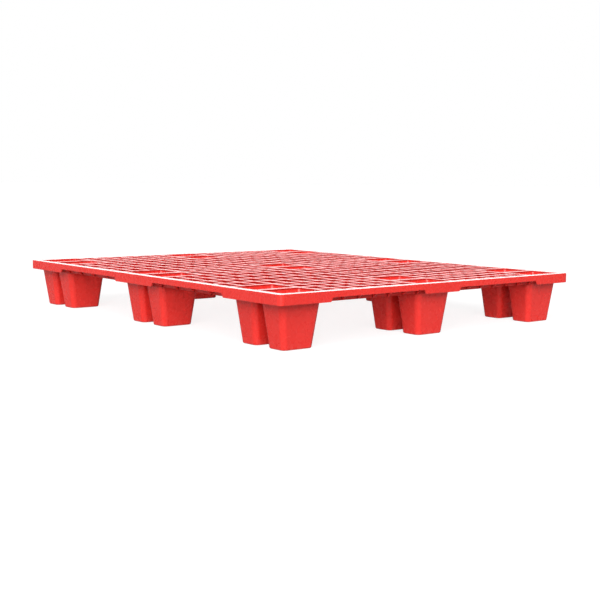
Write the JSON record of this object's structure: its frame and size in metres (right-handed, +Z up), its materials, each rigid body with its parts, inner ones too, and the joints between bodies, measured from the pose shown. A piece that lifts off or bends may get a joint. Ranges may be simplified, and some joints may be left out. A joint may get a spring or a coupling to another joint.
{
  "type": "plastic pallet",
  "caption": "Nestable plastic pallet with an open grid deck, a shallow stepped rim and hollow tapered legs in pairs, open for forks on every side.",
  "frame": {"origin": "on the floor under the middle of the deck", "axes": "+Z up to the load face, +Y along the long side, +X along the short side"},
  "size_m": [1, 1.2, 0.13],
  "materials": {
    "red_plastic": "satin"
  },
  "bodies": {
    "root": {"grid_column_centre_front": "red_plastic", "grid_column_centre_rear": "red_plastic", "grid_column_left_front": "red_plastic", "grid_column_left_rear": "red_plastic", "grid_column_right_front": "red_plastic", "grid_column_right_rear": "red_plastic", "grid_field_front_left": "red_plastic", "grid_field_front_right": "red_plastic", "grid_field_rear_left": "red_plastic", "grid_field_rear_right": "red_plastic", "grid_row_front_left": "red_plastic", "grid_row_front_right": "red_plastic", "grid_row_middle_left": "red_plastic", "grid_row_middle_right": "red_plastic", "grid_row_rear_left": "red_plastic", "grid_row_rear_right": "red_plastic", "leg_front_centre_collar": "red_plastic", "leg_front_centre_cup_front": "red_plastic", "leg_front_centre_cup_rear": "red_plastic", "leg_front_left_collar": "red_plastic", "leg_front_left_cup_front": "red_plastic", "leg_front_left_cup_rear": "red_plastic", "leg_front_right_collar": "red_plastic", "leg_front_right_cup_front": "red_plastic", "leg_front_right_cup_rear": "red_plastic", "leg_middle_centre_collar": "red_plastic", "leg_middle_centre_cup_front": "red_plastic", "leg_middle_centre_cup_rear": "red_plastic", "leg_middle_left_collar": "red_plastic", "leg_middle_left_cup_front": "red_plastic", "leg_middle_left_cup_rear": "red_plastic", "leg_middle_right_collar": "red_plastic", "leg_middle_right_cup_front": "red_plastic", "leg_middle_right_cup_rear": "red_plastic", "leg_rear_centre_collar": "red_plastic", "leg_rear_centre_cup_front": "red_plastic", "leg_rear_centre_cup_rear": "red_plastic", "leg_rear_left_collar": "red_plastic", "leg_rear_left_cup_front": "red_plastic", "leg_rear_left_cup_rear": "red_plastic", "leg_rear_right_collar": "red_plastic", "leg_rear_right_cup_front": "red_plastic", "leg_rear_right_cup_rear": "red_plastic", "rim_front": "red_plastic", "rim_left": "red_plastic", "rim_rear": "red_plastic", "rim_right": "red_plastic"}
  },
  "joints": []
}
